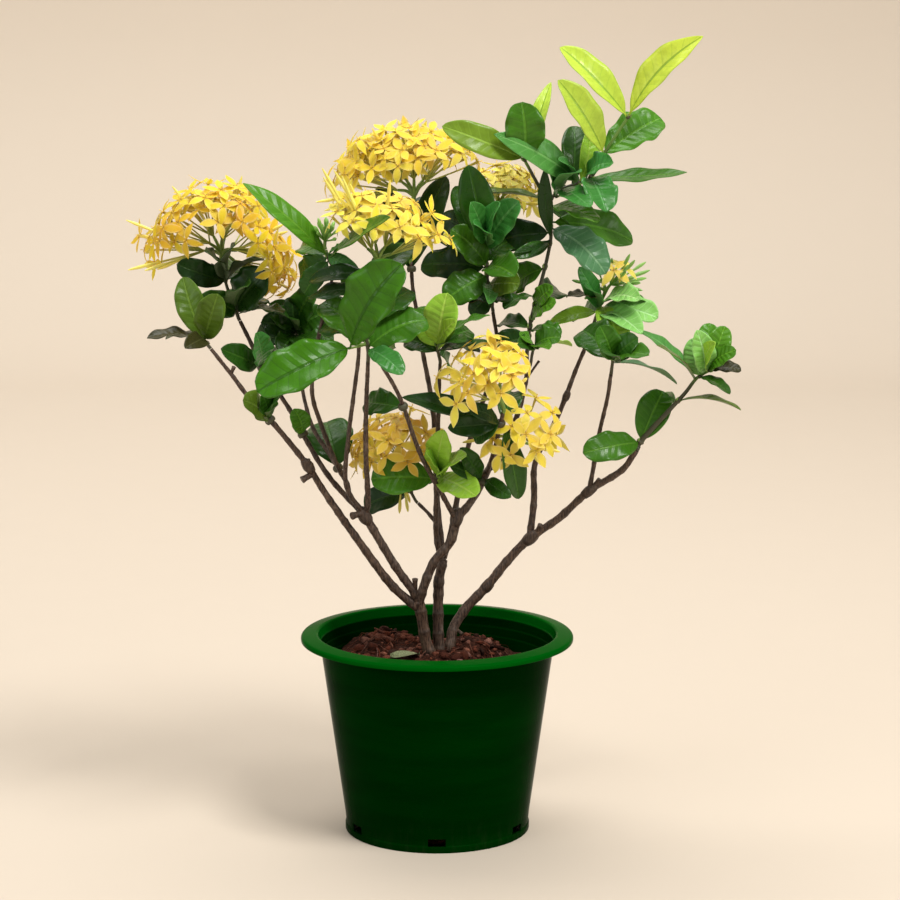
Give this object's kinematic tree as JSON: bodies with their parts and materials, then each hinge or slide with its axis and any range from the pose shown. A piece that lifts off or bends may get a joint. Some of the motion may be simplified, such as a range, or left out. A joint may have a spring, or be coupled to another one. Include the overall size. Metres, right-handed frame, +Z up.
{
  "type": "potted ixora",
  "caption": "Flowering ixora shrub with clusters of yellow four-petalled florets and glossy oval leaves on woody stems, filled with soil in a round green nursery pot",
  "frame": {"origin": "centre of the pot's flat underside, which stands on Z = 0", "axes": "+Z up along the pot's axis; -Y is the side seen in the picture; +X to the right in that view"},
  "size_m": [0.4497, 0.203, 0.5891],
  "materials": {
    "branches": "rough grey-brown bark",
    "bud_cluster": "waxy",
    "bud_shoot": "waxy leaf",
    "centre_leaves": "waxy leaf",
    "dark_leaves": "waxy leaf",
    "fork_leaves": "waxy leaf",
    "front_head_leaves": "waxy leaf",
    "head_behind": "soft petal",
    "head_centre": "soft petal",
    "head_front": "soft petal",
    "head_left": "soft petal",
    "head_low": "soft petal",
    "head_right": "soft petal",
    "head_small": "soft petal",
    "head_top": "soft petal",
    "left_curled_leaf": "waxy leaf",
    "left_head_leaves": "waxy leaf",
    "left_low_leaf": "waxy leaf",
    "left_pair": "waxy leaf",
    "left_shoot": "waxy leaf",
    "lime_shoot": "waxy leaf",
    "low_head_leaves": "waxy leaf",
    "low_leaves": "waxy leaf",
    "pot": "semi-gloss moulded plastic",
    "right_high_shoot": "waxy leaf",
    "right_low_shoot": "waxy leaf",
    "right_shoot": "waxy leaf",
    "round_leaf": "waxy leaf",
    "side_shoot": "waxy leaf",
    "soil": "loose dry coir and bark",
    "stem_leaf": "waxy leaf",
    "tall_shoot": "waxy leaf",
    "upper_shoot": "waxy leaf"
  },
  "bodies": {
    "root": {"branches": "branches", "bud_cluster": "bud_cluster", "bud_shoot": "bud_shoot", "centre_leaves": "centre_leaves", "dark_leaves": "dark_leaves", "fork_leaves": "fork_leaves", "front_head_leaves": "front_head_leaves", "head_behind": "head_behind", "head_centre": "head_centre", "head_front": "head_front", "head_left": "head_left", "head_low": "head_low", "head_right": "head_right", "head_small": "head_small", "head_top": "head_top", "left_curled_leaf": "left_curled_leaf", "left_head_leaves": "left_head_leaves", "left_low_leaf": "left_low_leaf", "left_pair": "left_pair", "left_shoot": "left_shoot", "lime_shoot": "lime_shoot", "low_head_leaves": "low_head_leaves", "low_leaves": "low_leaves", "pot": "pot", "right_high_shoot": "right_high_shoot", "right_low_shoot": "right_low_shoot", "right_shoot": "right_shoot", "round_leaf": "round_leaf", "side_shoot": "side_shoot", "soil": "soil", "stem_leaf": "stem_leaf", "tall_shoot": "tall_shoot", "upper_shoot": "upper_shoot"}
  },
  "joints": []
}
